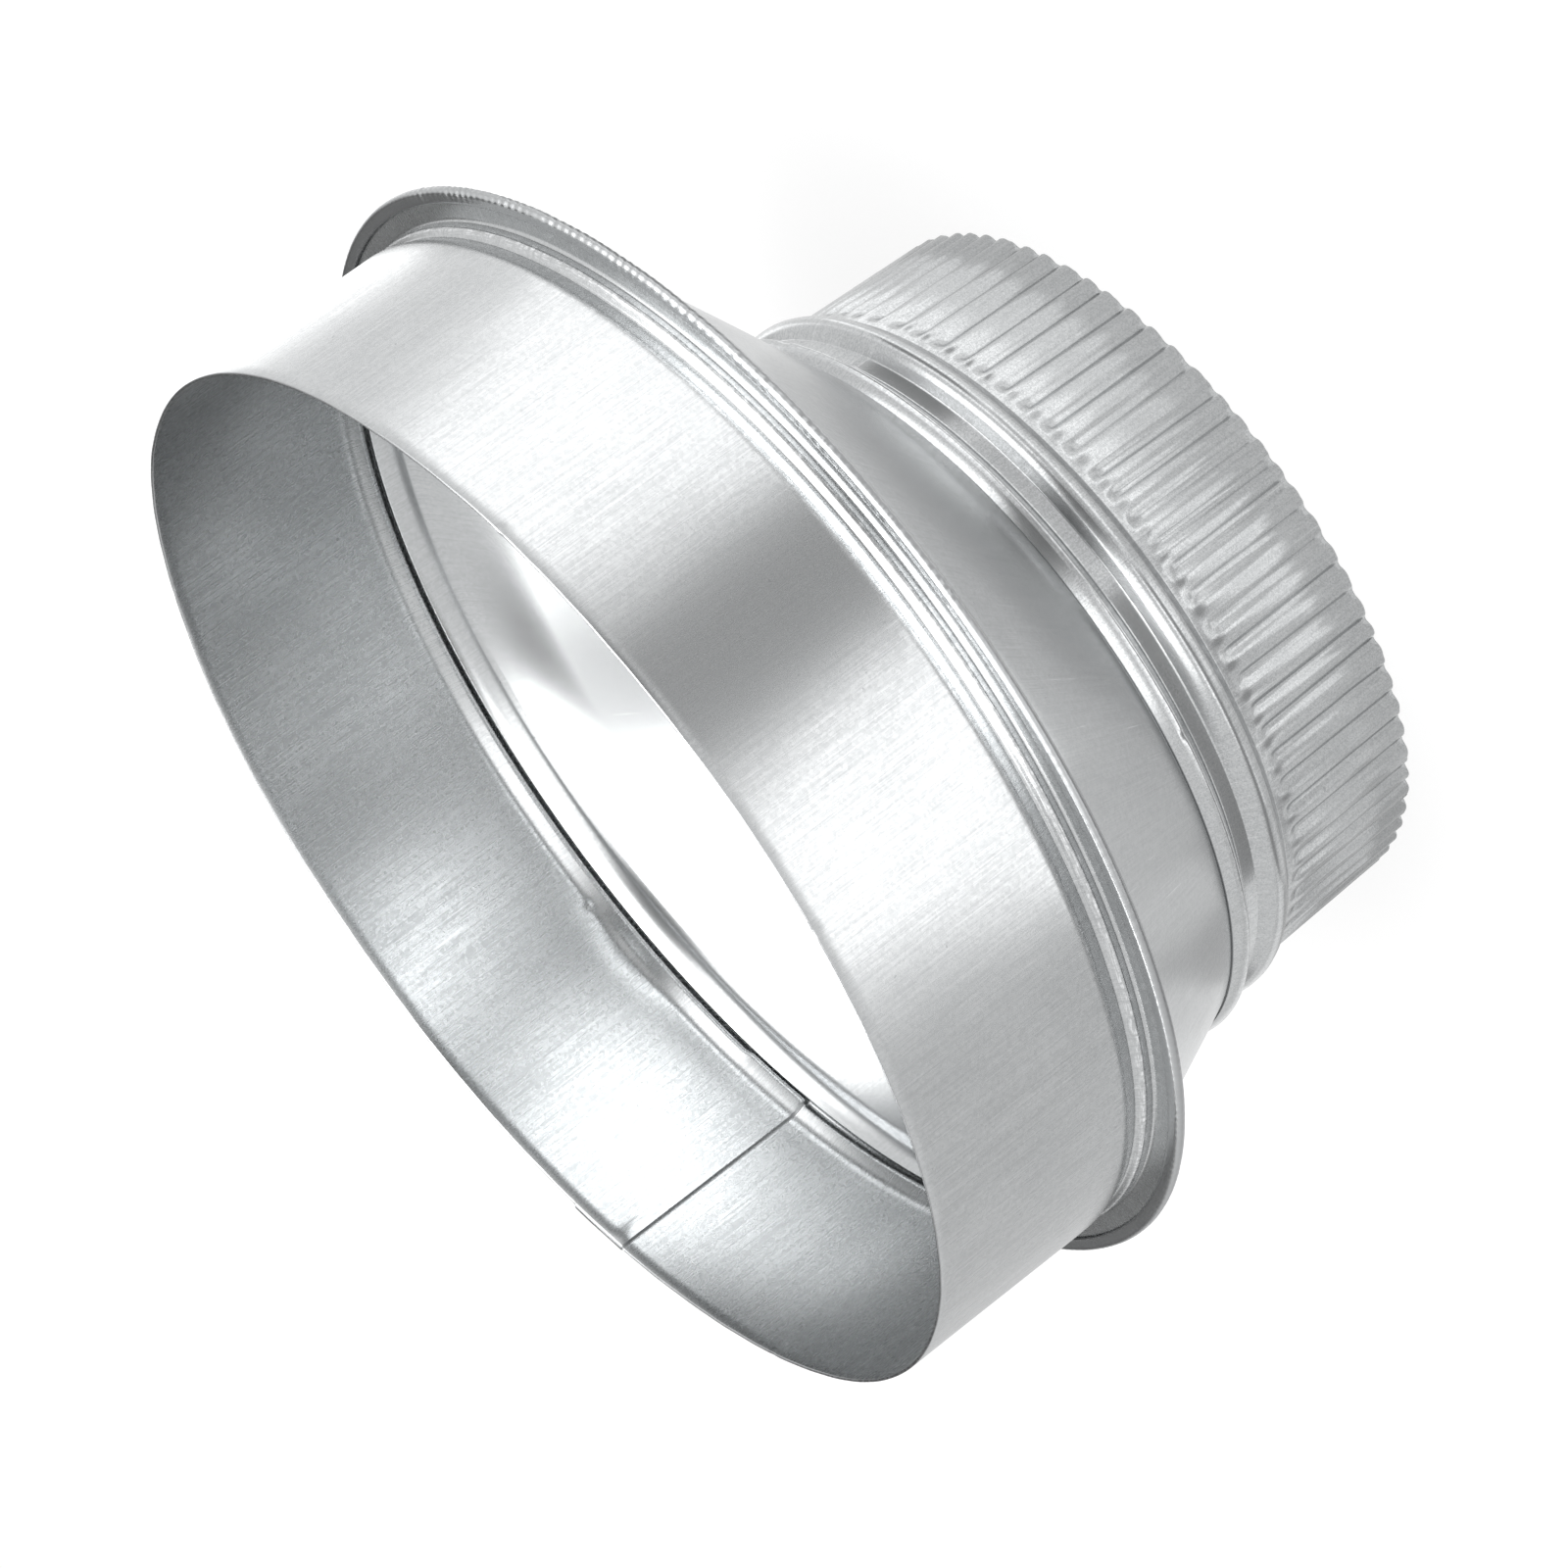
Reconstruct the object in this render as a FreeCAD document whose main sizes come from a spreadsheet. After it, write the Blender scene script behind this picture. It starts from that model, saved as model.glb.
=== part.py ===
import FreeCAD, Part
import math
import os
import re

import Sketcher
from FreeCAD import Placement, Rotation, Vector

# Offset duct reducer of galvanised sheet, standing on its crimped end.
# The Z axis is the large collar's axis, and the small collar is offset toward -X.
# Every piece is one rolled sheet: its middle line is drawn once and given the sheet's thickness.

# Driving sizes, in millimetres and degrees
driving_sizes = {
    "sheet": 0.45,                # thickness of the galvanised sheet
    "fold_clearance": 0.05,       # air between the leaves of the large seam
    "lock_clearance": 0.075,      # air between the neck and the collar's lip
    "axis_offset": 12.6,          # from the large axis to the small one
    # Large collar
    "large_bore": 152.4,          # inside diameter
    "plain_length": 30.6,         # straight wall from the rim to the swage
    "swage_slope": 2.35,          # height of the inward slope
    "swage_depth": 1.025,         # how far the crease lies inside the wall
    "swage_rise": 0.9,            # height from the crease to the ridge
    "ridge_proud": 0.075,         # how far the ridge stands past the wall
    "swage_root": 1.85,           # height from the ridge to the flange
    "root_inset": 0.375,          # how far the flange's root lies inside the wall
    "shoulder_bend": 2.5,         # bend radii of the middle line
    "crease_bend": 0.5,
    "ridge_bend": 0.7,
    "root_bend": 0.8,
    "seam_angle": 126.4,          # where the inner layer of the lap ends
    "lap_angle": 7.2,             # how far the outer layer runs back over it
    "ramp_angle": 6.1,            # stretch over which the outer layer comes in
    "lap_stop": 1.2,              # the lap ends this far above the swage
    # Standing seam
    "hem_proud": 4.75,            # how far the hem stands out from the wall
    "hem_gap": 0.875,             # from the hem's middle line to the flange's edge
    "hem_width": 1.7,             # how far the hem is folded back
    "hem_bend": 0.45,
    "nest_bend": 1.3,
    "nose_bend": 0.27,
    "nose_height": 1.75,          # how far the pinched fold stands above the seam
    "fold_width": 0.6,            # between the two legs of the pinched fold
    # Cone
    "spigot_step": 1.575,         # the cone's spigot lies this far inside the wall
    "spigot_height": 3.45,
    "spigot_overlap": 1.0,        # where the rolled ring joins the formed wall
    "wall_height": 22.4,
    "neck_length": 1.2,
    "flare_height": 0.8,          # turned edge that locks the neck in the collar
    "flare_reach": 0.3,
    # Small collar
    "small_diameter": 101.8,      # outside, at the plain strip
    "lip_lift": 2.775,            # radii above the plain strip
    "ridge_lift": 3.375,
    "groove_lift": 0.4,
    "bead_corner": 2.925,
    "lip_height": 1.6,
    "ridge_fall": 2.1,
    "groove_width": 2.6,
    "bead_width": 5.2,
    "plain_strip": 0.8,
    "lock_ridge_bend": 0.7,
    "groove_bend": 0.8,
    "bead_bend": 2.2,
    "bead_foot_bend": 0.6,
    # Crimped end
    "crimp_length": 21.5,
    "crimp_runout": 2.4,          # length over which a crimp fades out
    "crimp_depth": 0.65,
    "crimp_taper": 0.75,          # drop of the crests from the strip to the end
    "crimp_count": 78,
    "crest_share": 0.34,          # shares of one pitch
    "valley_share": 0.18,
}

doc = FreeCAD.newDocument("duct_reducer")
sheet_cells = doc.addObject("Spreadsheet::Sheet", "size")
for row, (alias, value) in enumerate(driving_sizes.items(), start=1):
    sheet_cells.set(f"A{row}", alias)
    sheet_cells.set(f"B{row}", str(value))
    sheet_cells.setAlias(f"B{row}", alias)
doc.recompute()


def named(text):
    """Expression in which each word that is a driving size refers to its cell."""
    return re.sub(r"[a-z_]+", lambda word: f"size.{word[0]}" if word[0] in driving_sizes
                  else word[0], text)


def size_of(alias):
    return float(getattr(sheet_cells, alias))


# Radii of the middle lines
r_wall = "( large_bore / 2 + sheet / 2 )"
r_hem = "( large_bore / 2 + sheet / 2 + hem_proud )"
r_spigot = f"( {r_wall} - spigot_step )"
r_strip = "( small_diameter / 2 - sheet / 2 )"
r_lip = f"( {r_strip} + lip_lift )"
r_neck = f"( {r_lip} - sheet - lock_clearance )"

# Heights above the crimped end
z_strip = "crimp_length"
z_bead_low = f"( {z_strip} + plain_strip )"
z_bead_high = f"( {z_bead_low} + bead_width )"
z_groove = f"( {z_bead_high} + groove_width )"
z_ridge = f"( {z_groove} + ridge_fall )"
z_lip = f"( {z_ridge} + lip_height )"
z_neck = f"( {z_lip} + sheet / 2 + lock_clearance )"
z_shoulder = f"( {z_neck} + wall_height )"
z_nose = f"( {z_shoulder} + spigot_height )"
z_hem = f"( {z_nose} - nose_height )"
z_flange = f"( {z_hem} + sheet + fold_clearance )"
z_leaf = f"( {z_flange} + sheet + fold_clearance )"
z_swage_ridge = f"( {z_flange} + swage_root )"
z_crease = f"( {z_swage_ridge} + swage_rise )"
z_swage_top = f"( {z_crease} + swage_slope )"
z_rim = f"( {z_swage_top} + plain_length )"

upright = Rotation(Vector(1, 0, 0), 90)  # turns a sketch into the XZ plane
origin_point = (-1, 1)


def pin(sketch, geometry, place, x, y):
    """Holds a sketch point at the named distances from the origin."""
    for kind, text in (("DistanceX", x), ("DistanceY", y)):
        if text is None:
            continue
        start = sketch.evalExpression(named(text))
        index = sketch.addConstraint(
            Sketcher.Constraint(kind, *origin_point, geometry, place, float(start)))
        sketch.setExpression(f"Constraints[{index}]", named(text))


def middle_line(name, corners):
    """Sketch of a sheet's middle line: straight runs joined by bends.

    Each corner is (radius, height, bend), and the two ends have no bend."""
    sketch = doc.addObject("Sketcher::SketchObject", name)
    sketch.Placement = Placement(Vector(0, 0, 0), upright)
    points = [Vector(*(float(sketch.evalExpression(named(text))) for text in corner[:2]), 0)
              for corner in corners]
    starts, ends = [points[0]], []
    arcs = []
    for before, at, after, corner in zip(points, points[1:], points[2:], corners[1:]):
        bend = float(sketch.evalExpression(named(corner[2])))
        back, onward = (before - at).normalize(), (after - at).normalize()
        half = back.getAngle(onward) / 2
        run = bend / math.tan(half)
        centre = at + (back + onward).normalize() * (bend / math.sin(half))
        ends.append(at + back * run)
        starts.append(at + onward * run)
        arcs.append((ends[-1], centre + (at - centre).normalize() * bend, starts[-1]))
    ends.append(points[-1])
    runs = [sketch.addGeometry(Part.LineSegment(*pair), False) for pair in zip(starts, ends)]
    pin(sketch, runs[0], 1, *corners[0][:2])
    pin(sketch, runs[-1], 2, *corners[-1][:2])
    for index, (arc, corner) in enumerate(zip(arcs, corners[1:])):
        before, after = runs[index], runs[index + 1]
        # The bend's start and end are told apart by the way it turns
        ccw = (arc[1] - arc[0]).cross(arc[2] - arc[1]).z > 0
        bend = sketch.addGeometry(Part.Arc(*arc), False)
        first, last = (1, 2) if ccw else (2, 1)
        corner_point = sketch.addGeometry(Part.Point(points[index + 1]), True)
        pin(sketch, corner_point, 1, *corner[:2])
        sketch.addConstraint([
            Sketcher.Constraint("Tangent", before, 2, bend, first),
            Sketcher.Constraint("Tangent", after, 1, bend, last),
            Sketcher.Constraint("PointOnObject", corner_point, 1, before),
            Sketcher.Constraint("PointOnObject", corner_point, 1, after)])
        radius = sketch.addConstraint(
            Sketcher.Constraint("Radius", bend, sketch.Geometry[bend].Radius))
        sketch.setExpression(f"Constraints[{radius}]", named(corner[2]))
    return sketch


def rolled_ring(name, corners):
    """Ring of sheet: the middle line is thickened both ways and turned about Z."""
    section = doc.addObject("Part::Offset2D", f"{name}_section")
    section.Source = middle_line(f"{name}_line", corners)
    section.setExpression("Value", named("sheet / 2"))
    section.Fill = True
    ring = doc.addObject("Part::Revolution", name)
    ring.Source = section
    ring.Axis = Vector(0, 0, 1)
    ring.Angle = 360
    ring.Solid = True
    return ring


def place(item, x=None, z=None):
    for axis, text in (("x", x), ("z", z)):
        if text is not None:
            item.setExpression(f"Placement.Base.{axis}", named(text))
    return item


def cylinder(name, radius, low, high, x="0"):
    item = doc.addObject("Part::Cylinder", name)
    item.setExpression("Radius", named(radius))
    item.setExpression("Height", named(f"{high} - ( {low} )"))
    return place(item, x, low)


def circle(name, radius, height, x="0"):
    item = doc.addObject("Part::Circle", name)
    item.setExpression("Radius", named(radius))
    return place(item, x, height)


def fused(name, items, refine=True):
    item = doc.addObject("Part::MultiFuse", name)
    item.Shapes = items
    item.Refine = refine
    return item


def cut(name, base, tool):
    item = doc.addObject("Part::Cut", name)
    item.Base = base
    item.Tool = tool
    return item


# Large collar: plain wall, swage, and the flange that the cone's hem is folded over
collar_ring = rolled_ring("collar_ring", [
    (r_wall, f"{z_rim} - sheet / 2", None),
    (r_wall, z_swage_top, "shoulder_bend"),
    (f"{r_wall} - swage_depth", z_crease, "crease_bend"),
    (f"{r_wall} + ridge_proud", z_swage_ridge, "ridge_bend"),
    (f"{r_wall} - root_inset", z_flange, "root_bend"),
    (f"{r_hem} - hem_gap", z_flange, None)])

# Lap seam: past the inner layer's edge the sheet steps out by its own thickness
z_lap = f"( {z_swage_top} + lap_stop )"
inner_face = f"( {r_wall} - sheet / 2 )"
outer_face = f"( {r_wall} + sheet / 2 )"


def polar(radius, angle):
    return f"{radius} * cos({angle})", f"{radius} * sin({angle})"


def lap_sketch():
    """Section of the lap: the outer layer over the inner one, and the ramp back to the wall."""
    sketch = doc.addObject("Sketcher::SketchObject", "lap_section")
    edge = "( seam_angle - lap_angle )"
    ramp_end = "( seam_angle + ramp_angle )"
    lap_face = f"( {outer_face} + sheet )"
    corners = [polar(r_wall, edge), polar(lap_face, edge), polar(lap_face, "seam_angle"),
               polar(outer_face, ramp_end), polar(inner_face, ramp_end),
               polar(outer_face, "seam_angle"), polar(r_wall, "seam_angle")]
    points = [Vector(*(float(sketch.evalExpression(named(text))) for text in corner), 0)
              for corner in corners]
    curved = {1, 6}  # the sides that follow the wall
    sides = []
    for index, start in enumerate(points):
        end = points[(index + 1) % len(points)]
        if index in curved:
            middle = (start + end).normalize() * start.Length
            sides.append(sketch.addGeometry(Part.Arc(start, middle, end), False))
        else:
            sides.append(sketch.addGeometry(Part.LineSegment(start, end), False))
    # The arc that runs backward has its ends the other way round
    tail = {index: 1 if index == 6 else 2 for index in range(len(sides))}
    head = {index: 2 if index == 6 else 1 for index in range(len(sides))}
    for index, side in enumerate(sides):
        after = (index + 1) % len(sides)
        sketch.addConstraint(
            Sketcher.Constraint("Coincident", side, tail[index], sides[after], head[after]))
        if index in curved:
            sketch.addConstraint(Sketcher.Constraint("Coincident", side, 3, *origin_point))
    for index, corner in enumerate(corners):
        ends_arc = index in (2, 0)  # its distance from the axis is the arc's
        pin(sketch, sides[index], head[index], corner[0], None if ends_arc else corner[1])
    return place(sketch, z=z_lap)


lap = doc.addObject("Part::Extrusion", "lap")
lap.Base = lap_sketch()
lap.DirMode = "Custom"
lap.Dir = Vector(0, 0, 1)
lap.Solid = True
lap.setExpression("LengthFwd", named(f"{z_rim} - {z_lap}"))
lap_room = cylinder("lap_room", f"{outer_face} + sheet", z_lap, f"( {z_rim} + sheet )")
lap_room.setExpression("Angle", named("ramp_angle"))
lap_room.setExpression("Placement.Rotation.Angle", named("seam_angle"))
open_collar = cut("open_collar", collar_ring, lap_room)
large_collar = fused("large_collar", [open_collar, lap])

# Cone: rolled ring with the hem and the pinched fold, and the formed oblique wall
z_joint = f"( {z_shoulder} + spigot_overlap )"
hem_ring = rolled_ring("hem_ring", [
    (f"{r_hem} - hem_width", z_leaf, None),
    (r_hem, z_leaf, "hem_bend"),
    (r_hem, z_hem, "hem_bend"),
    (f"{r_spigot} + fold_width", z_hem, "nest_bend"),
    (f"{r_spigot} + fold_width", z_nose, "nose_bend"),
    (r_spigot, z_nose, "nose_bend"),
    (r_spigot, z_shoulder, None)])
below_joint = cylinder("below_joint", r_hem, f"( {z_shoulder} - sheet )", z_joint)
seam_ring = cut("seam_ring", hem_ring, below_joint)

# A skin raised by this much keeps the sheet's thickness on a wall at 45 degrees
skin_lift = "sheet * tan(22.5)"
z_turn = f"( {z_neck} - neck_length )"
z_edge = f"( {z_turn} - flare_height )"


def wall_skin(side, shift, lift, top):
    """Solid up to one face of the formed wall, from the neck's turned edge to the joint."""
    spigot, neck = f"( {r_spigot} {shift} )", f"( {r_neck} {shift} )"
    offset = "- axis_offset"
    upper, lower = f"( {z_shoulder} + {lift} )", f"( {z_neck} + {lift} )"
    wall = doc.addObject("Part::Loft", f"{side}_wall")
    wall.Sections = [circle(f"{side}_shoulder", spigot, upper),
                     circle(f"{side}_neck_circle", neck, lower, offset)]
    wall.Solid = True
    wall.Ruled = True
    flare = doc.addObject("Part::Cone", f"{side}_flare")
    flare.setExpression("Radius1", named(f"{neck} + flare_reach"))
    flare.setExpression("Radius2", named(neck))
    flare.setExpression("Height", named("flare_height"))
    place(flare, offset, z_edge)
    return fused(f"{side}_skin", [
        cylinder(f"{side}_spigot", spigot, upper, top), wall,
        cylinder(f"{side}_neck", neck, z_turn, lower, offset), flare])


formed_wall = cut("formed_wall",
                  wall_skin("outer", "+ sheet / 2", "0", z_joint),
                  wall_skin("inner", "- sheet / 2", skin_lift, z_joint))
reducing_cone = fused("reducing_cone", [seam_ring, formed_wall])

# Small collar: lip over the neck, lock ridge, groove, stop bead and the crimped end
bead_ring = rolled_ring("bead_ring", [
    (r_lip, z_lip, None),
    (f"{r_strip} + ridge_lift", z_ridge, "lock_ridge_bend"),
    (f"{r_strip} + groove_lift", z_groove, "groove_bend"),
    (f"{r_strip} + groove_lift", z_bead_high, "bead_foot_bend"),
    (f"{r_strip} + bead_corner", f"{z_bead_low} + bead_width / 2", "bead_bend"),
    (r_strip, z_bead_low, "bead_foot_bend"),
    (r_strip, f"{z_strip} - sheet", None)])
crimp_room = cylinder("crimp_room", r_lip, "0", z_strip)
plain_part = cut("plain_part", bead_ring, crimp_room)


def crimp_wire(crest, valley, height):
    """Closed outline round the collar: arcs on the crests and valleys, joined by flanks."""
    count = round(size_of("crimp_count"))
    pitch = 2 * math.pi / count
    flank = (1 - size_of("crest_share") - size_of("valley_share")) / 2
    stops = (0, size_of("crest_share"), size_of("crest_share") + flank, 1 - flank)
    radii = (crest, crest, valley, valley)
    points = [(radius, (k + stop) * pitch) for k in range(count)
              for stop, radius in zip(stops, radii)]

    def spot(radius, angle):
        return Vector(radius * math.cos(angle), radius * math.sin(angle), height)

    edges = []
    for (r1, a1), (r2, a2) in zip(points, points[1:] + [(crest, 2 * math.pi)]):
        if r1 == r2:
            arc = Part.Arc(spot(r1, a1), spot(r1, (a1 + a2) / 2), spot(r2, a2))
            edges.append(arc.toShape())
        else:
            edges.append(Part.makeLine(spot(r1, a1), spot(r2, a2)))
    return Part.Wire(edges)


def crimped_end():
    """Crimped wall: round at the plain strip, waved over the rest, a little tapered."""
    thickness, length = size_of("sheet"), size_of("crimp_length")
    runout, taper, depth = size_of("crimp_runout"), size_of("crimp_taper"), size_of("crimp_depth")
    outside = size_of("small_diameter") / 2
    levels = ((length, outside, 0), (length - runout, outside - taper * runout / length, depth),
              (0, outside - taper, depth))
    skins = [[crimp_wire(crest - inset, crest - inset - wave, height)
              for height, crest, wave in levels] for inset in (0, thickness)]
    faces = [face for skin in skins for face in Part.makeLoft(skin, False, True).Faces]
    for outer, inner in ((skins[0][0], skins[1][0]), (skins[0][-1], skins[1][-1])):
        faces.append(Part.makeFace([outer, inner], "Part::FaceMakerBullseye"))
    shell = Part.Shell(faces)
    shell.sewShape()
    solid = Part.Solid(shell)
    if solid.Volume < 0:
        solid.reverse()
    return solid


crimps = doc.addObject("Part::Feature", "crimps")
crimps.Shape = crimped_end()
small_collar = fused("small_collar", [plain_part, crimps], refine=False)
place(small_collar, x="- axis_offset")

doc.recompute()

# Every feature has to be sound before a piece is written
for item in doc.Objects:
    if "Invalid" in item.State or "Error" in item.State:
        raise RuntimeError(f"{item.Name} failed: {item.State}")

os.makedirs("parts", exist_ok=True)
for piece in (large_collar, reducing_cone, small_collar):
    piece.Label = piece.Name
    if piece.Shape.isNull() or not piece.Shape.isValid():
        raise RuntimeError(f"{piece.Label} has no valid shape")
    print(piece.Label, "solids", len(piece.Shape.Solids), "volume", round(piece.Shape.Volume, 1),
          "box", piece.Shape.BoundBox)
    piece.Shape.exportStep(f"parts/{piece.Label}.step")
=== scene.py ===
import math
import bpy
import numpy as np
from mathutils import Matrix, Vector


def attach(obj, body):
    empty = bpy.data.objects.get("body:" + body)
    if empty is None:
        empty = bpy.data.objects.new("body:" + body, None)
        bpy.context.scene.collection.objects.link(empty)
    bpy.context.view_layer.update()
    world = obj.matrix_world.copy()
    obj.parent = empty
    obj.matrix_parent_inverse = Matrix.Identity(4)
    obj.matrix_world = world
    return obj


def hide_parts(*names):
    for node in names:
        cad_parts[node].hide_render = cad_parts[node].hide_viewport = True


# Offset duct reducer: three seamed sheets of galvanised steel
# It stands on its crimped end, and the Z axis is the large collar's axis

print("stage: frame")
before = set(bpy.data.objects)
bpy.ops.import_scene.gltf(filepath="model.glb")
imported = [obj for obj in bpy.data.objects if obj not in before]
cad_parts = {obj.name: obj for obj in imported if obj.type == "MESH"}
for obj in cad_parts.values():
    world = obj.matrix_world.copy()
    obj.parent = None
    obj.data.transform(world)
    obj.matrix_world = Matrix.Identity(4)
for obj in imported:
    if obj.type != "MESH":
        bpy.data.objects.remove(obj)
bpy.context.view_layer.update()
mm = 0.001

sheetLook = {
    "thickness": 0.45,
    "edgeSteps": 3,          # rings that round a cut edge
    "tallest": 94.4,
}


def unit(v):
    return v / np.linalg.norm(v)


def bentLine(corners, turnSteps=5, runStep=2.0):
    # Straight runs between corners of radius, height and centre; each inner corner becomes
    # an arc of its bend's radius that is tangent to both runs
    spots = [np.array(corner[:3], float) for corner in corners]
    line = [spots[0]]
    turns = np.linspace(0, 1, turnSteps + 1)[:, None]
    for before, at, after, corner in zip(spots, spots[1:], spots[2:], corners[1:]):
        back = unit(before - at)
        onward = unit(after - at)
        half = math.acos(np.clip(back @ onward, -1, 1)) / 2
        run = corner[3] / math.tan(half)
        middle = at + unit(back + onward) * corner[3] / math.sin(half)
        sweep = math.pi - 2 * half
        first = at + back * run - middle
        last = at + onward * run - middle
        arc = (np.sin((1 - turns) * sweep) * first + np.sin(turns * sweep) * last)
        line.extend(middle + arc / math.sin(sweep))
    line.append(spots[-1])
    full = [line[0]]
    for start, end in zip(line, line[1:]):
        count = max(1, round(np.linalg.norm(end - start) / runStep))
        full.extend(start + (end - start) * k / count for k in range(1, count + 1))
    return np.array(full)


def turnRound(line, angles):
    # Each point of the line goes round its own centre: x = centre + r cos a, y = r sin a
    r, z, c = (line[:, k][:, None] for k in range(3))
    return np.stack([c + r * np.cos(angles), r * np.sin(angles), z + 0 * angles], -1)


def facing(middle):
    # Cross product of the steps round and along the sheet, turned away from the axis
    along = np.gradient(middle, axis=0)
    around = np.roll(middle, -1, 1) - np.roll(middle, 1, 1)
    normal = np.cross(around, along)
    normal /= np.linalg.norm(normal, axis=2, keepdims=True)
    outward = (normal[0, :, :2] * (middle[0, :, :2] - middle[0, :, :2].mean(0))).sum()
    return normal if outward > 0 else -normal


def softStep(x, low, high):
    t = np.clip((x - low) / (high - low), 0, 1)
    return t * t * (3 - 2 * t)


def hump(x, centre, width):
    return np.exp(-((x - centre) / width) ** 2)


def waver(angles, waves, rng):
    # Sum of whole waves round the ring, each with a chosen share and a drawn phase
    total = np.zeros_like(angles)
    for count, share in waves:
        total += share * np.sin(count * angles + rng.uniform(0, 2 * math.pi))
    return total


def sheetPiece(name, middle, around, normal, shifts, sheenAndEdges, keep=1):
    # Two skins at half the thickness on each side of the middle surface, and round cut edges
    half = sheetLook["thickness"] / 2
    outer = middle + normal * (half + shifts[0])[..., None]
    inner = middle - normal * (half - shifts[1])[..., None]
    rows = np.arange(len(middle))
    innerRows = np.unique(np.concatenate([rows[::keep], rows[-1:]]))
    tilt = np.linspace(0, math.pi, sheetLook["edgeSteps"] + 2)[1:-1]

    def cutEdge(row, inward):
        tail = middle[row] - middle[inward]
        tail = tail / np.linalg.norm(tail, axis=1, keepdims=True)
        centre = (outer[row] + inner[row]) / 2
        reach = (outer[row] - inner[row]) / 2
        size = np.linalg.norm(reach, axis=1, keepdims=True)
        return [centre + reach * math.cos(a) + tail * size * math.sin(a) for a in tilt]

    steps = sheetLook["edgeSteps"]
    low = np.array(cutEdge(-1, -2))
    high = np.array(cutEdge(0, 1))[::-1]
    loop = np.concatenate([outer, low, inner[innerRows][::-1], high])
    path = np.concatenate([[0], np.cumsum(np.linalg.norm(np.diff(middle[:, 0], axis=0), axis=1))])
    lengths = np.concatenate([path, [path[-1]] * steps, path[innerRows][::-1], [0.0] * steps])
    loop[..., 2] = np.minimum(loop[..., 2], sheetLook["tallest"])
    # One where a highlight is painted on the outer skin, minus one on the cut edges, and below zero also where
    # shade is painted
    cutRow = np.full((steps, loop.shape[1]), -1.0)
    plain = np.zeros((len(innerRows), loop.shape[1]))
    sheenAndEdgeValues = np.concatenate([sheenAndEdges + 0 * middle[..., 0], cutRow, plain, cutRow])
    count, columns = loop.shape[:2]
    index = np.arange(count * columns).reshape(count, columns)
    faces = np.stack([index, np.roll(index, -1, 0), np.roll(np.roll(index, -1, 0), -1, 1),
                      np.roll(index, -1, 1)], -1).reshape(-1, 4)
    co = loop.reshape(-1, 3) * mm
    a, b, c, d = (co[faces[:, k]] for k in range(4))
    volume = (np.einsum("ij,ij->i", a, np.cross(b, c)) + np.einsum("ij,ij->i", a, np.cross(c, d))).sum()
    if volume < 0:
        faces = faces[:, ::-1]
    mesh = bpy.data.meshes.new(name)
    mesh.vertices.add(len(co))
    mesh.vertices.foreach_set("co", co.ravel())
    mesh.loops.add(faces.size)
    mesh.loops.foreach_set("vertex_index", faces.ravel())
    mesh.polygons.add(len(faces))
    mesh.polygons.foreach_set("loop_start", np.arange(0, faces.size, 4))
    mesh.update(calc_edges=True)
    mesh.polygons.foreach_set("use_smooth", np.ones(len(faces), bool))
    # The flat sheet as UV: arc length round the collar, and length along its section
    column = faces % columns
    row = faces // columns
    wrapped = (column == 0) & (column.max(1, keepdims=True) == columns - 1)
    arc = np.append(around, around[0] + 2 * math.pi) * np.abs(middle[0, 0, :2]).max() * mm
    uv = np.stack([arc[np.where(wrapped, columns, column)], lengths[row] * mm], -1)
    mesh.uv_layers.new(name="sheet").data.foreach_set("uv", uv.astype(np.float32).ravel())
    layer = mesh.attributes.new("sheenAndEdges", "FLOAT", "POINT")
    layer.data.foreach_set("value", sheenAndEdgeValues.ravel().astype(np.float32))
    piece = bpy.data.objects.new(name, mesh)
    bpy.context.scene.collection.objects.link(piece)
    print("  ", name, "triangles", len(faces) * 2)
    return piece


print("stage: large collar")
collar = {
    "columns": 900,
    "wall": 76.425,          # radius of the wall's middle line
    "rim": 94.175,
    "swageTop": 63.7,
    "creaseRadius": 75.4,
    "crease": 61.35,
    "ridgeRadius": 76.5,
    "ridge": 60.55,
    "rootRadius": 76.05,
    "flange": 58.7,
    "flangeEdge": 80.3,
    "lapStart": 119.2,       # the outer layer begins here
    "lapEnd": 126.4,         # and the inner layer ends here
    "lapRamp": 148.0,
    "lapFoot": 60.9,
    "layerGap": 0.06,
    "waviness": 0.05,
}


def collarAngles():
    # Even columns, with two close pairs where the lapped layers end
    even = np.radians(np.linspace(0, 360, collar["columns"], endpoint=False))
    close = [math.radians(collar[end] + side * 0.015)
             for end in ("lapStart", "lapEnd") for side in (-1, 1)]
    return np.sort(np.concatenate([even, close]))


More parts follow.
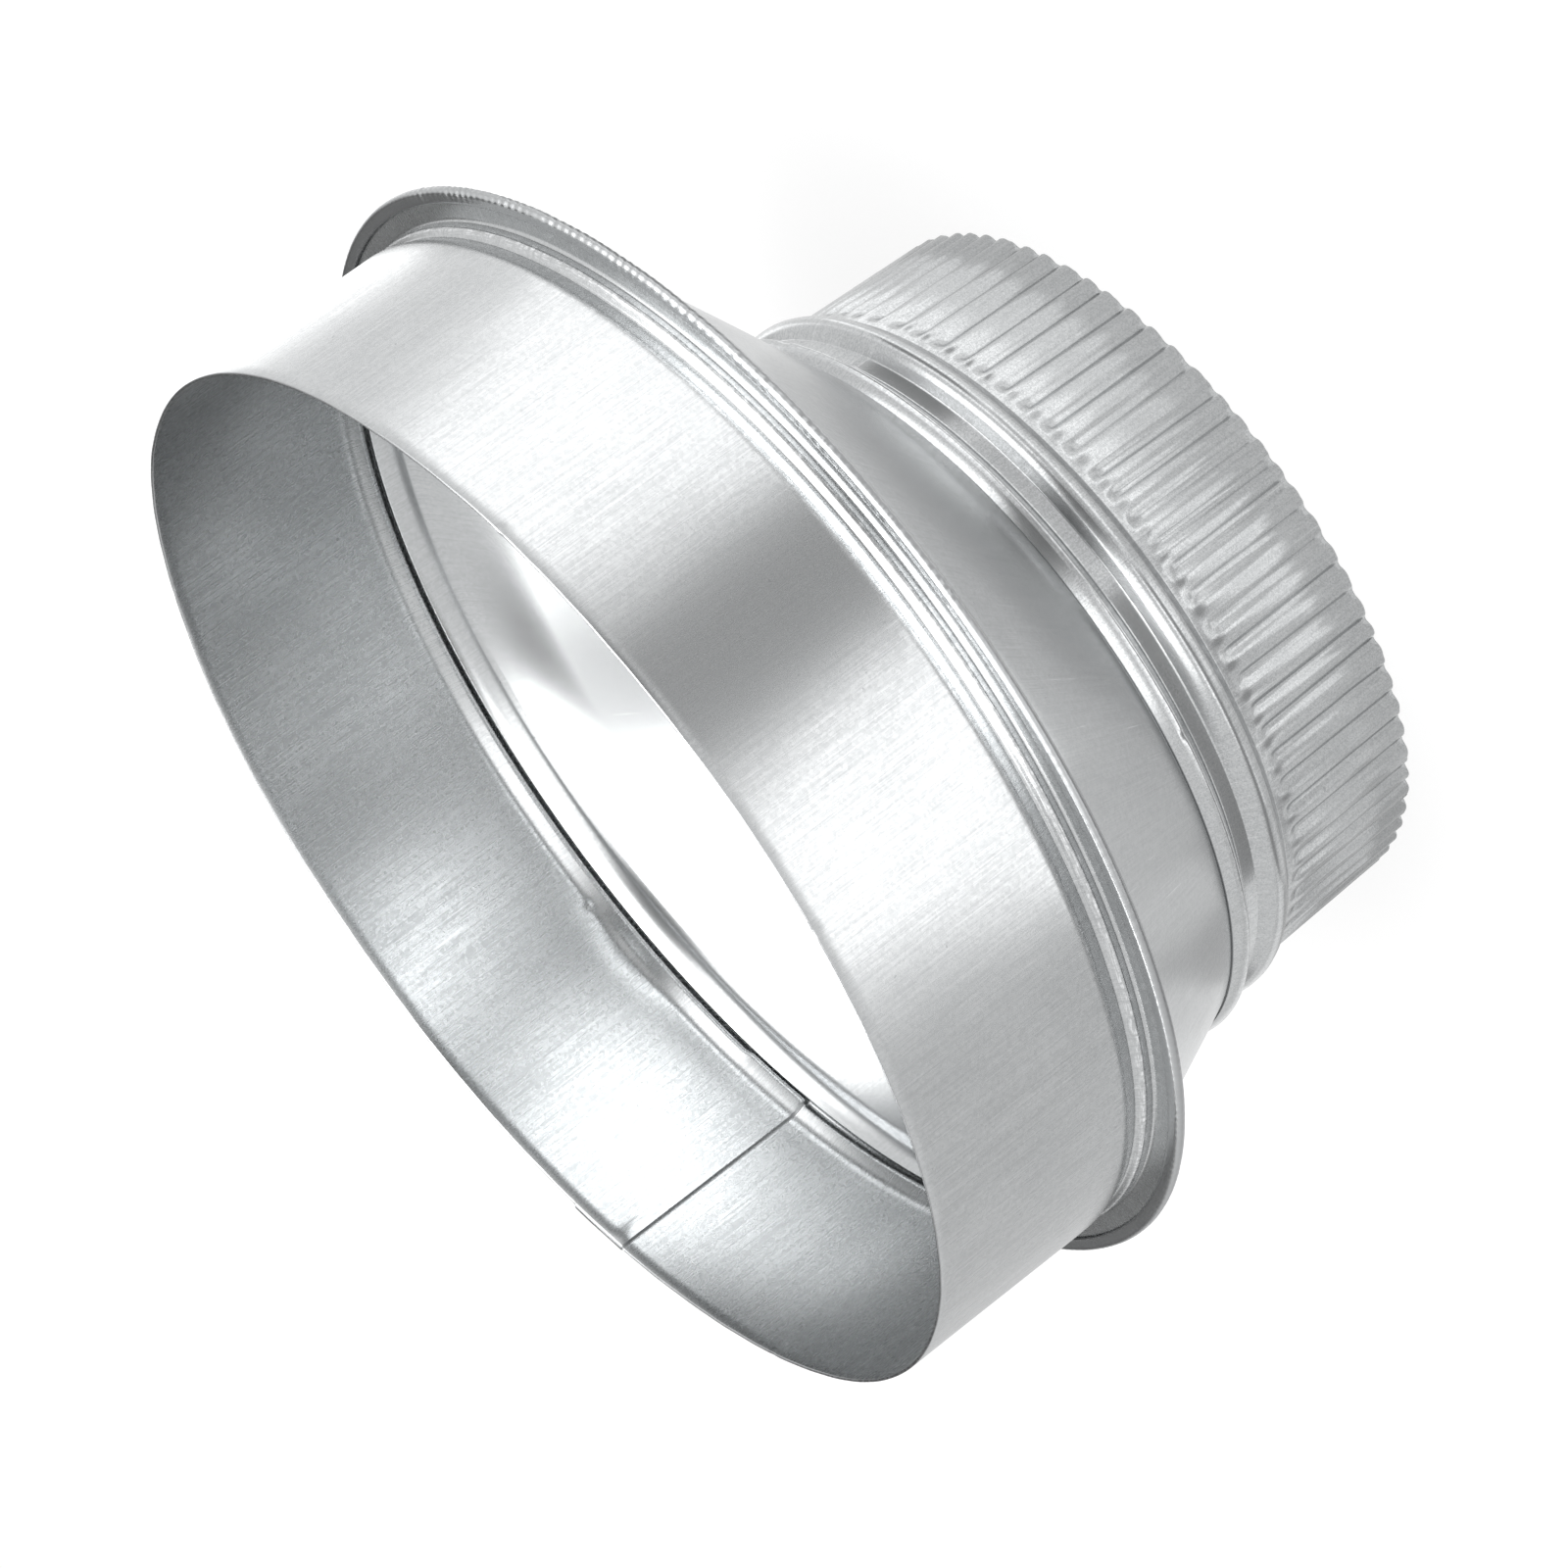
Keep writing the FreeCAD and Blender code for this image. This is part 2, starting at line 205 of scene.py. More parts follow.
def makeLargeCollar():
    angles = collarAngles()
    line = bentLine([
        (collar["wall"], collar["rim"], 0),
        (collar["wall"], collar["swageTop"], 0, 4.2),
        (collar["creaseRadius"], collar["crease"], 0, 0.7),
        (collar["ridgeRadius"], collar["ridge"], 0, 0.7),
        (collar["rootRadius"], collar["flange"], 0, 0.8),
        (collar["flangeEdge"], collar["flange"], 0)], turnSteps=6, runStep=1.6)
    middle = turnRound(line, angles)
    normal = facing(middle)
    degrees = (np.degrees(angles)[None, :] + 180) % 360 - 180
    height = line[:, 1][:, None]
    onWall = softStep(height, collar["swageTop"], collar["swageTop"] + 4)
    # The wall is a little uneven, as rolled sheet is
    rng = np.random.default_rng(5)
    push = onWall * collar["waviness"] * (
        waver(angles, [(5, 0.7), (9, 0.5), (14, 0.35), (23, 0.2)], rng)[None, :]
        + waver(angles, [(7, 0.5), (12, 0.4), (19, 0.3)], rng)[None, :] * np.sin(height * 0.16))
    # A long shallow dent pushed in above the swage, with a nick at its start
    dent = hump(degrees, 100.8, 5.4) * (1 - softStep(height, 63.2, 65.6)) * softStep(height, 62.0, 63.2)
    push = push - 0.35 * dent
    push = push - 0.2 * hump(degrees, 94.3, 0.4) * hump(height, 64.0, 0.5)
    # Clinch at the corner of the inner layer
    push = push - 0.42 * hump(degrees, 125.4, 0.75) * hump(height, 91.5, 0.8)
    # Small nicks that bend the rim
    for place, depth, width in ((-62.9, 0.22, 0.35), (-108.2, 0.18, 0.3), (-100.5, 0.08, 0.5),
                                (152.0, 0.1, 0.5), (38.0, 0.07, 0.6)):
        push = push - depth * hump(degrees, place, width) * hump(height, collar["rim"], 0.7)
    middle = middle + normal * push[..., None]
    # The rim is cut slightly unevenly
    rimWave = waver(angles, [(2, 0.05), (7, 0.03), (31, 0.012), (67, 0.012)], rng)
    rimWave -= rimWave.max()
    middle[..., 2] += softStep(height, 80, collar["rim"]) * rimWave
    # The crease steps down beside the lap, where two layers are swaged together
    kink = softStep(degrees, 117.2, 118.2) * (1 - softStep(degrees, 126.2, 126.6))
    middle[..., 2] -= 0.42 * kink * hump(height, collar["crease"], 1.1)
    lapped = softStep(height, collar["lapFoot"] - 0.6, collar["lapFoot"])
    full = sheetLook["thickness"] + collar["layerGap"]
    ramp = 1 - softStep(degrees, collar["lapEnd"], collar["lapRamp"])
    outerShift = lapped * full * ramp * (degrees > collar["lapStart"])
    innerShift = lapped * full * ramp * (degrees > collar["lapEnd"])
    # Painted highlight on the swage's ridge and, at half strength, on its shoulder
    sheenAndEdges = np.maximum(hump(height, collar["ridge"] - 0.1, 0.5), 0.5 * hump(height, collar["swageTop"], 0.6))
    return sheetPiece("largeCollarSheet", middle, angles, normal, (outerShift, innerShift), sheenAndEdges)


print("stage: reducing cone")
cone = {
    "columns": 1400,
    "leafEdge": 79.475,
    "leaf": 59.2,
    "hemRadius": 81.12,
    "hem": 58.2,
    "foldRadius": 75.2,
    "nose": 60.5,
    "spigotRadius": 74.6,
    "shoulder": 56.5,
    "neckRadius": 52.925,
    "neck": 34.1,
    "flareTop": 32.9,
    "flareEnd": 32.1,
    "offset": -12.6,
    "knurl": 0.28,           # depth of the chatter marks on the hem's rim
}


def makeReducingCone():
    angles = np.linspace(0, 2 * math.pi, cone["columns"], endpoint=False)
    line = bentLine([
        (cone["leafEdge"] + 0.9, cone["leaf"], 0),
        (cone["hemRadius"], cone["leaf"], 0, 0.45),
        (cone["hemRadius"], cone["hem"], 0, 0.45),
        (cone["foldRadius"], cone["hem"], 0, 1.3),
        (cone["foldRadius"], cone["nose"], 0, 0.27),
        (cone["spigotRadius"], cone["nose"], 0, 0.27),
        (cone["spigotRadius"], cone["shoulder"], 0, 1.6),
        (cone["neckRadius"] + 0.1, cone["neck"] - 0.1, cone["offset"], 0.45),
        (cone["neckRadius"], cone["flareTop"], cone["offset"], 0.8),
        (cone["neckRadius"] + 0.3, cone["flareEnd"], cone["offset"])], turnSteps=3, runStep=3.2)
    # The folded leaf has close rows, for its chatter marks
    leaf = cone["leafEdge"] + np.array([0, 0.3, 0.6])
    line = np.concatenate([np.stack([leaf, leaf * 0 + cone["leaf"], leaf * 0], -1), line])
    middle = turnRound(line, angles)
    normal = facing(middle)
    degrees = (np.degrees(angles)[None, :] + 180) % 360 - 180
    height = line[:, 1][:, None]
    radius = line[:, 0][:, None]
    rng = np.random.default_rng(9)
    # The drawn wall swells and sinks a little, most halfway down
    onWall = softStep(height, 34, 38) * (1 - softStep(height, 50, 55))
    push = onWall * 0.07 * (waver(angles, [(4, 0.6), (9, 0.4), (15, 0.3)], rng)[None, :]
                            + waver(angles, [(6, 0.5), (13, 0.35)], rng)[None, :] * np.sin(height * 0.3))
    middle = middle + normal * push[..., None]
    # Chatter marks round the hem's rim, strongest on the part that faces up
    marks = rng.normal(0, 1, cone["columns"])
    marks = (marks + 0.7 * np.roll(marks, 1) + 0.7 * np.roll(marks, -1)) / 1.6
    beat = np.sin(angles * 330 + 2.5 * waver(angles, [(11, 0.5), (17, 0.4)], rng))
    strong = 0.18 + 0.82 * softStep(degrees[0], -104, -82) * (1 - softStep(degrees[0], -26, -8))
    onRim = hump(radius, cone["hemRadius"], 0.55) * softStep(height, 57.9, 58.1)
    strong = strong * (0.68 + 0.32 * np.sin(angles * 43 + 1.0))
    ring = -cone["knurl"] * strong * np.clip(0.5 - 0.42 * beat - 0.16 * marks, 0, 1.1)
    middle[..., :2] += onRim[..., None] * ring[None, :, None] * unitRadial(angles)
    onLeaf = softStep(radius, cone["leafEdge"] + 0.2, cone["leafEdge"] + 0.7) * softStep(height, 58.6, 59.0)
    middle[..., 2] += 0.38 * onLeaf * (height > 58) * (height < 59.4) * ring[None, :]
    flat = np.zeros(middle.shape[:2])
    # Painted shade on the hem's rim, which darkens its colour halfway towards the cut edges' colour
    sheenAndEdges = -0.6 * hump(radius, cone["hemRadius"] + 0.1, 0.6) * softStep(height, 57.9, 58.1)
    return sheetPiece("reducingConeSheet", middle, angles, normal, (flat, flat), sheenAndEdges, keep=3)


def unitRadial(angles):
    return np.stack([np.cos(angles), np.sin(angles)], -1)[None]


print("stage: small collar")
spigot = {
    "centre": -12.6,
    "crimps": 78,
    "perCrimp": 14,          # columns to one crimp
    "strip": 50.675,         # radius of the plain strip's middle line
    "top": 34.05,
    "ridge": 32.2,
    "groove": 30.1,
    "beadTop": 27.5,
    "beadFoot": 22.3,
    "crimpTop": 21.5,
    "runout": 2.2,
    "depth": 0.65,
    "taper": 0.75,
}


def makeSmallCollar():
    count = spigot["crimps"]
    angles = np.linspace(0, 2 * math.pi, count * spigot["perCrimp"], endpoint=False)
    strip = spigot["strip"]
    line = bentLine([
        (strip + 2.8, spigot["top"], 0),
        (strip + 3.2, spigot["ridge"] + 0.5, 0, 0.3),
        (strip + 3.35, spigot["ridge"] - 0.2, 0, 0.3),
        (strip + 0.4, spigot["groove"], 0, 0.8),
        (strip + 0.4, spigot["beadTop"], 0, 0.6),
        (strip + 2.925, (spigot["beadTop"] + spigot["beadFoot"]) / 2, 0, 2.2),
        (strip, spigot["beadFoot"], 0, 0.6),
        (strip, spigot["crimpTop"], 0)], turnSteps=5, runStep=1.6)
    fade = spigot["crimpTop"] - np.array([0.35, 0.8, 1.3, 1.9, 2.6, 3.4])
    rest = np.linspace(spigot["crimpTop"] - 5.2, 0.225, 8)
    crimpLine = np.concatenate([fade, rest])
    line = np.concatenate([line, np.stack([crimpLine * 0 + strip, crimpLine, crimpLine * 0], -1)])
    line[:, 2] = spigot["centre"]
    rng = np.random.default_rng(21)
    # Crimps are of uneven width: their phase runs ahead and behind
    phase = angles / (2 * math.pi) * count + waver(angles, [(3, 0.1), (11, 0.07), (26, 0.05), (37, 0.03)], rng)
    which = np.floor(phase).astype(int) % count
    depthOf = rng.uniform(0.88, 1.0, count)
    lean = rng.uniform(-0.012, 0.012, count)
    height = line[:, 1][:, None]
    below = np.clip((spigot["crimpTop"] - height) / spigot["crimpTop"], 0, 1)
    turned = (phase[None, :] + lean[which][None, :] * below * 6) % 1
    # Share of one crimp: a broad crest, a flank, a narrower valley and a flank
    valley = softStep(turned, 0.32, 0.58) * (1 - softStep(turned, 0.70, 0.96))
    drop = softStep(spigot["crimpTop"] - height, 0.1, spigot["runout"])
    radius = line[:, 0][:, None] - below * spigot["taper"]
    radius = radius - valley * drop * spigot["depth"] * depthOf[which][None, :]
    crest = 0.15 * np.sin(math.pi * np.clip(turned / 0.38, 0, 1)) * drop
    radius = radius + crest
    # Handling marks: a pressed patch on the crimps, and a rough end
    degrees = (np.degrees(angles)[None, :] + 180) % 360 - 180
    radius = radius - 0.25 * hump(degrees, -97, 3.2) * hump(height, 13.5, 2.2) * drop
    radius = radius - 0.22 * hump(degrees, -124, 2.0) * hump(height, 6.0, 1.6) * drop
    onBead = hump(height, 24.9, 2.2)
    radius = radius - 0.3 * hump(degrees, -25.5, 1.3) * hump(height, 31.6, 0.8)
    radius = radius - 0.35 * hump(degrees, -111.8, 0.9) * hump(height, 31.4, 0.6)
    radius = radius - 0.12 * hump(degrees, -136, 5) * onBead
    radius = radius + 0.06 * waver(angles, [(3, 0.6), (8, 0.3), (13, 0.25)], rng)[None, :] * onBead
    level = np.stack([radius * np.cos(angles) + spigot["centre"], radius * np.sin(angles),
                      height + 0 * radius], -1)
    normal = facing(level)
    ragged = waver(angles, [(5, 0.04), (39, 0.03), (78, 0.03), (111, 0.03)], rng)
    level[..., 2] += softStep(6 - height, 0, 5.8) * (ragged[None, :] + 0.06 * hump(degrees, -130, 6))
    level[..., 2] = np.maximum(level[..., 2], 0.226)
    flat = np.zeros(level.shape[:2])
    # Painted highlight along the lock ridge, at half strength
    sheenAndEdges = 0.5 * hump(height, 32.3, 0.3)
    return sheetPiece("smallCollarSheet", level, angles, normal, (flat, flat), sheenAndEdges, keep=2)


largeCollar = makeLargeCollar()
reducingCone = makeReducingCone()
smallCollar = makeSmallCollar()

print("stage: finishes")
finish = {
    "zinc": (0.48, 0.49, 0.495),
    "bright": (0.60, 0.61, 0.615),
    "dull": (0.37, 0.38, 0.385),
    # Colour of the painted highlight on the crests
    "sheenAndEdges": (0.85, 0.86, 0.87),
    # Colour of the cut edges, and of the painted shade on the hem's rim
    "edge": (0.27, 0.275, 0.28),
    "roughness": 0.27,
    "anisotropy": 0.25,
    "dullRim": 0.7,          # a quarter of it is added to the roughness of the hem's rim
}


def group(name, inputs, outputs):
    tree = bpy.data.node_groups.new(name, "ShaderNodeTree")
    for label, value in inputs.items():
        socket = tree.interface.new_socket(label, in_out="INPUT", socket_type="NodeSocketFloat")
        socket.default_value = value
    for label in outputs:
        tree.interface.new_socket(label, in_out="OUTPUT", socket_type="NodeSocketFloat")
    enter = tree.nodes.new("NodeGroupInput")
    leave = tree.nodes.new("NodeGroupOutput")
    return tree, enter, leave


def node(tree, kind, **values):
    made = tree.nodes.new(kind)
    for key, value in values.items():
        if hasattr(made, key):
            setattr(made, key, value)
        else:
            made.inputs[key.replace("_", " ")].default_value = value
    return made


def maths(tree, operation, first, second):
    made = tree.nodes.new("ShaderNodeMath")
    made.operation = operation
    for socket, value in zip(made.inputs, (first, second)):
        if isinstance(value, (int, float)):
            socket.default_value = value
        else:
            tree.links.new(value, socket)
    return made.outputs[0]


def ramp(tree, value, low, high, out=(0, 1)):
    made = tree.nodes.new("ShaderNodeMapRange")
    made.interpolation_type = "SMOOTHSTEP"
    for key, number in (("From Min", low), ("From Max", high), ("To Min", out[0]), ("To Max", out[1])):
        made.inputs[key].default_value = number
    tree.links.new(value, made.inputs["Value"])
    return made.outputs["Result"]


def stretched(tree, scale, detail, roughness=0.5):
    # Noise on the flat sheet: scale is how many marks to a metre, round and along it
    place = tree.nodes.new("ShaderNodeUVMap")
    place.uv_map = "sheet"
    sized = tree.nodes.new("ShaderNodeMapping")
    sized.inputs["Scale"].default_value = (scale[0], scale[1], 1)
    tree.links.new(place.outputs["UV"], sized.inputs["Vector"])
    noise = node(tree, "ShaderNodeTexNoise", Scale=1.0, Detail=detail, Roughness=roughness)
    tree.links.new(sized.outputs["Vector"], noise.inputs["Vector"])
    return noise.outputs["Fac"]


def rolledGrain():
    # Fine lines along the axis, left by the mill's rolls, and broad uneven bands
    tree, enter, leave = group("rolledGrain", {"Strength": 1.0}, ["Tone", "Height"])
    fine = stretched(tree, (6500, 110), 2)
    coarse = stretched(tree, (2600, 40), 2)
    cloudy = stretched(tree, (95, 70), 3)
    lines = maths(tree, "ADD", maths(tree, "MULTIPLY", fine, 0.6), maths(tree, "MULTIPLY", coarse, 0.4))
    bands = maths(tree, "ADD", maths(tree, "MULTIPLY", lines, 0.8), maths(tree, "MULTIPLY", cloudy, 0.2))
    spread = maths(tree, "MULTIPLY", maths(tree, "SUBTRACT", bands, 0.5), enter.outputs["Strength"])
    tree.links.new(spread, leave.inputs["Tone"])
    tree.links.new(lines, leave.inputs["Height"])
    return tree


def zincSpangle():
    # Small crystals: every cell has its own tone
    tree, enter, leave = group("zincSpangle", {"Crystals": 2400.0, "Strength": 1.0}, ["Tone"])
    place = tree.nodes.new("ShaderNodeTexCoord")
    cells = node(tree, "ShaderNodeTexVoronoi")
    cells.feature = "F1"
    blur = node(tree, "ShaderNodeTexNoise", Scale=1600.0, Detail=2.0)
    mix = tree.nodes.new("ShaderNodeVectorMath")
    mix.operation = "MULTIPLY_ADD"
    mix.inputs[1].default_value = (0.0005, 0.0005, 0.0005)
    tree.links.new(place.outputs["Object"], blur.inputs["Vector"])
    tree.links.new(blur.outputs["Color"], mix.inputs[0])
    tree.links.new(place.outputs["Object"], mix.inputs[2])
    tree.links.new(mix.outputs[0], cells.inputs["Vector"])
    tree.links.new(enter.outputs["Crystals"], cells.inputs["Scale"])
    apart = tree.nodes.new("ShaderNodeSeparateColor")
    tree.links.new(cells.outputs["Color"], apart.inputs["Color"])
    spread = maths(tree, "MULTIPLY", maths(tree, "SUBTRACT", apart.outputs[0], 0.5), enter.outputs["Strength"])
    tree.links.new(spread, leave.inputs["Tone"])
    return tree


def handlingMarks():
    # Sparse thin scratches and dark specks
    tree, enter, leave = group("handlingMarks", {"Amount": 1.0}, ["Scratches", "Specks"])
    across = stretched(tree, (2600, 38), 1)
    gate = stretched(tree, (140, 90), 2)
    thin = maths(tree, "MULTIPLY", ramp(tree, across, 0.70, 0.74), ramp(tree, gate, 0.52, 0.62))
    tree.links.new(maths(tree, "MULTIPLY", thin, enter.outputs["Amount"]), leave.inputs["Scratches"])
    dots = stretched(tree, (900, 900), 1)
    far = stretched(tree, (110, 110), 1)
    spots = maths(tree, "MULTIPLY", ramp(tree, dots, 0.75, 0.79), ramp(tree, far, 0.5, 0.6))
    tree.links.new(maths(tree, "MULTIPLY", spots, enter.outputs["Amount"]), leave.inputs["Specks"])
    return tree


grain = rolledGrain()
spangle = zincSpangle()
marks = handlingMarks()


def sheenAndEdgePlaces():
    # Painted highlight: bright streaks that run round the sheet where the mark is above zero; the Edge share
    # darkens cut edges and paints shade on the hem's rim
    tree, enter, leave = group("sheenAndEdgePlaces", {"Amount": 1.0}, ["Bright", "Edge"])
    mark = tree.nodes.new("ShaderNodeAttribute")
    mark.attribute_name = "sheenAndEdges"
    streak = stretched(tree, (420, 9000), 2)
    broken = stretched(tree, (1500, 1500), 2)
    both = maths(tree, "MULTIPLY", ramp(tree, streak, 0.42, 0.62), ramp(tree, broken, 0.35, 0.6))
    sheenAndEdgeValues = maths(tree, "MULTIPLY", both, mark.outputs["Fac"])
    tree.links.new(maths(tree, "MULTIPLY", sheenAndEdgeValues, enter.outputs["Amount"]), leave.inputs["Bright"])
    tree.links.new(ramp(tree, mark.outputs["Fac"], -0.9, -0.3, (1, 0)), leave.inputs["Edge"])
    return tree


sheenAndEdgeGroup = sheenAndEdgePlaces()


def galvanised(name, grainStrength, spangleStrength, roughness, bump, crystalCount=2400):
    material = bpy.data.materials.new(name)
    material.use_nodes = True
    tree = material.node_tree
    shader = tree.nodes["Principled BSDF"]
    shader.inputs["Metallic"].default_value = 1.0
    shader.inputs["Anisotropic"].default_value = finish["anisotropy"]
    shader.inputs["Anisotropic Rotation"].default_value = 0.0
    tangent = tree.nodes.new("ShaderNodeTangent")
    tangent.direction_type = "RADIAL"
    tangent.axis = "Z"
    tree.links.new(tangent.outputs["Tangent"], shader.inputs["Tangent"])
    lines = tree.nodes.new("ShaderNodeGroup")
    lines.node_tree = grain
    lines.inputs["Strength"].default_value = grainStrength
    crystals = tree.nodes.new("ShaderNodeGroup")
    crystals.node_tree = spangle
    crystals.inputs["Strength"].default_value = spangleStrength
    crystals.inputs["Crystals"].default_value = crystalCount
    handled = tree.nodes.new("ShaderNodeGroup")
    handled.node_tree = marks
    tone = maths(tree, "ADD", lines.outputs["Tone"], crystals.outputs["Tone"])
    tone = maths(tree, "ADD", tone, 0.5)
    tone = maths(tree, "SUBTRACT", tone, maths(tree, "MULTIPLY", handled.outputs["Specks"], 0.35))
    tone = maths(tree, "ADD", tone, maths(tree, "MULTIPLY", handled.outputs["Scratches"], 0.2))
    colour = tree.nodes.new("ShaderNodeValToRGB")
    colour.color_ramp.elements[0].position = 0.25
    colour.color_ramp.elements[0].color = (*finish["dull"], 1)
    colour.color_ramp.elements[1].position = 0.75
    colour.color_ramp.elements[1].color = (*finish["bright"], 1)
    middle = colour.color_ramp.elements.new(0.5)
    middle.color = (*finish["zinc"], 1)
    tree.links.new(tone, colour.inputs["Fac"])
    # Painted highlight mixes the colour towards the bright one; cut edges and the painted shade on the hem's rim
    # mix it towards the edge colour
    sheenAndEdgeNode = tree.nodes.new("ShaderNodeGroup")
    sheenAndEdgeNode.node_tree = sheenAndEdgeGroup
    paintedHighlightMix = tree.nodes.new("ShaderNodeMix")
    paintedHighlightMix.data_type = "RGBA"
    paintedHighlightMix.inputs[7].default_value = (*finish["sheenAndEdges"], 1)
    tree.links.new(sheenAndEdgeNode.outputs["Bright"], paintedHighlightMix.inputs[0])
    tree.links.new(colour.outputs["Color"], paintedHighlightMix.inputs[6])
    edged = tree.nodes.new("ShaderNodeMix")
    edged.data_type = "RGBA"
    edged.inputs[7].default_value = (*finish["edge"], 1)
    tree.links.new(sheenAndEdgeNode.outputs["Edge"], edged.inputs[0])
    tree.links.new(paintedHighlightMix.outputs[2], edged.inputs[6])
    tree.links.new(edged.outputs[2], shader.inputs["Base Color"])
    smooth = ramp(tree, tone, 0.3, 0.7, (roughness + 0.035, roughness - 0.035))
    onRim = maths(tree, "MULTIPLY", sheenAndEdgeNode.outputs["Edge"], maths(tree, "SUBTRACT", 1, sheenAndEdgeNode.outputs["Edge"]))
    dulled = maths(tree, "MULTIPLY", onRim, finish["dullRim"])
    tree.links.new(maths(tree, "ADD", smooth, dulled), shader.inputs["Roughness"])
    lift = node(tree, "ShaderNodeBump", Strength=bump, Distance=0.000004)
    tree.links.new(lines.outputs["Height"], lift.inputs["Height"])
    tree.links.new(lift.outputs["Normal"], shader.inputs["Normal"])
    return material


wallFinish = galvanised("galvanisedWall", 0.9, 0.12, finish["roughness"], 0.4)
formedFinish = galvanised("galvanisedFormed", 0.5, 0.08, finish["roughness"] - 0.03, 0.35)
crimpFinish = galvanised("galvanisedCrimped", 0.7, 0.26, finish["roughness"] - 0.05, 0.5, 6000)
for piece, cadNode, material in ((largeCollar, "large_collar", wallFinish),
                                 (reducingCone, "reducing_cone", formedFinish),
                                 (smallCollar, "small_collar", crimpFinish)):
    piece.data.materials.append(material)
    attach(piece, "root")
    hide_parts(cadNode)

print("stage: studio")
studio = {
    "floorHalf": 6.0,
    "floorWhite": 0.9,
    "skyLight": 0.55,        # how bright the white room is for diffuse light
    "showWhite": 0.85,       # share of plain white that the background shows
}
softboxes = [
    # name, azimuth and elevation seen from the part, distance, width, height, brightness
    ("keyPanel", -64, 62, 1.2, 1.5, 0.8, 7.6),
    ("rightPanel", -32, 28, 1.2, 1.05, 0.6, 2.0),
    ("leftPanel", -107, 28, 1.2, 0.7, 0.6, 1.5),
    ("backPanel", 106, 66, 1.2, 0.9, 0.6, 6.4),
    ("topPanel", 158, 75.5, 1.2, 0.32, 0.32, 2.9),
]
tablePanels = [
    # name, azimuth, radius, length away from the part, width, brightness
    ("leftTable", -116.5, 0.32, 0.30, 0.18, 1.12),
    ("rightTable", -33, 0.32, 0.30, 0.22, 0.98),
    ("backTable", 62, 0.32, 0.30, 0.26, 0.98),
]
tableCards = [
    # name, first and last azimuth, near and far radius on the table, brightness
    ("frontCard", -91, -64, 0.17, 0.60, 0.48),
    ("farCard", 118, 216, 0.17, 0.60, 0.86),
    ("beadRight", 0, 32, 0.092, 0.165, 1.05),
    ("beadDark", -38, -8, 0.092, 0.165, 0.3),
    ("beadFront", -84, -45, 0.092, 0.165, 0.85),
    ("beadLeft", -172, -92, 0.092, 0.165, 0.38),
    ("underDuct", 112, 232, 0.022, 0.049, 1.7),
]
firstStrip = -215
tableRings = [
    # Rings on the table round the small collar: name, near and far radius, and strips of
    # last azimuth and brightness; the first strip begins at firstStrip
    ("crimpFoot", 0.050, 0.060, [(-186, 0.7), (-150, 0.65), (-95, 0.8), (-40, 0.85), (0, 0.8),
                                 (50, 0.9)]),
    ("underCone", 0.060, 0.078, [(-172, 0.6), (-153, 0.95), (-146, 0.85), (-118, 0.9), (-92, 1.35),
                                 (-80, 0.9), (-66, 1.1), (-56, 1.2), (-10, 1.2), (50, 1.0)]),
    ("crimpHead", 0.078, 0.092, [(-172, 1.0), (-150, 0.8), (-134, 1.25), (-107, 0.9), (-94, 1.8),
                                 (-85, 1.1), (10, 1.9), (50, 1.1)]),
]
standingCards = [
    # name, azimuth, distance, width, foot and top above the table, brightness
    ("backWall", 92, 1.0, 1.5, 0.02, 0.85, 0.12),
    ("behindCamera", -69, 1.1, 0.5, 0.02, 0.95, 0.2),
    ("highLeft", -176, 0.4, 0.36, 0.72, 1.2, 0.15),
]


def lookAt(obj, target):
    aim = Vector(target) - obj.location
    obj.rotation_mode = "QUATERNION"
    obj.rotation_quaternion = aim.to_track_quat("-Z", "Y")


def polarSpot(azimuth, elevation, distance, centre=(0, 0, 0.06)):
    a, e = math.radians(azimuth), math.radians(elevation)
    return [centre[0] + distance * math.cos(e) * math.cos(a),
            centre[1] + distance * math.cos(e) * math.sin(a),
            centre[2] + distance * math.sin(e)]


def backgroundShare(tree):
    # One for rays from the camera, from gloss and through glass
    path = tree.nodes.new("ShaderNodeLightPath")
    seen = maths(tree, "MAXIMUM", path.outputs["Is Camera Ray"], path.outputs["Is Glossy Ray"])
    return maths(tree, "MAXIMUM", seen, path.outputs["Is Transmission Ray"])


for name, azimuth, elevation, distance, width, height, brightness in softboxes:
    data = bpy.data.lights.new(name, "AREA")
    data.shape = "RECTANGLE"
    data.size = width
    data.size_y = height
    data.energy = brightness * math.pi * width * height
    lamp = bpy.data.objects.new(name, data)
    lamp.location = polarSpot(azimuth, elevation, distance)
    lookAt(lamp, (0, 0, 0.06))
    lamp.visible_camera = False
    bpy.context.scene.collection.objects.link(lamp)

for name, azimuth, radius, length, width, brightness in tablePanels:
    data = bpy.data.lights.new(name, "AREA")
    data.shape = "RECTANGLE"
    data.size = length
    data.size_y = width
    data.energy = brightness * math.pi * length * width
    lamp = bpy.data.objects.new(name, data)
    around = math.radians(azimuth)
    lamp.location = (radius * math.cos(around), radius * math.sin(around), 0.002)
    lamp.rotation_euler = (math.pi, 0, around)
    lamp.visible_camera = False
    bpy.context.scene.collection.objects.link(lamp)

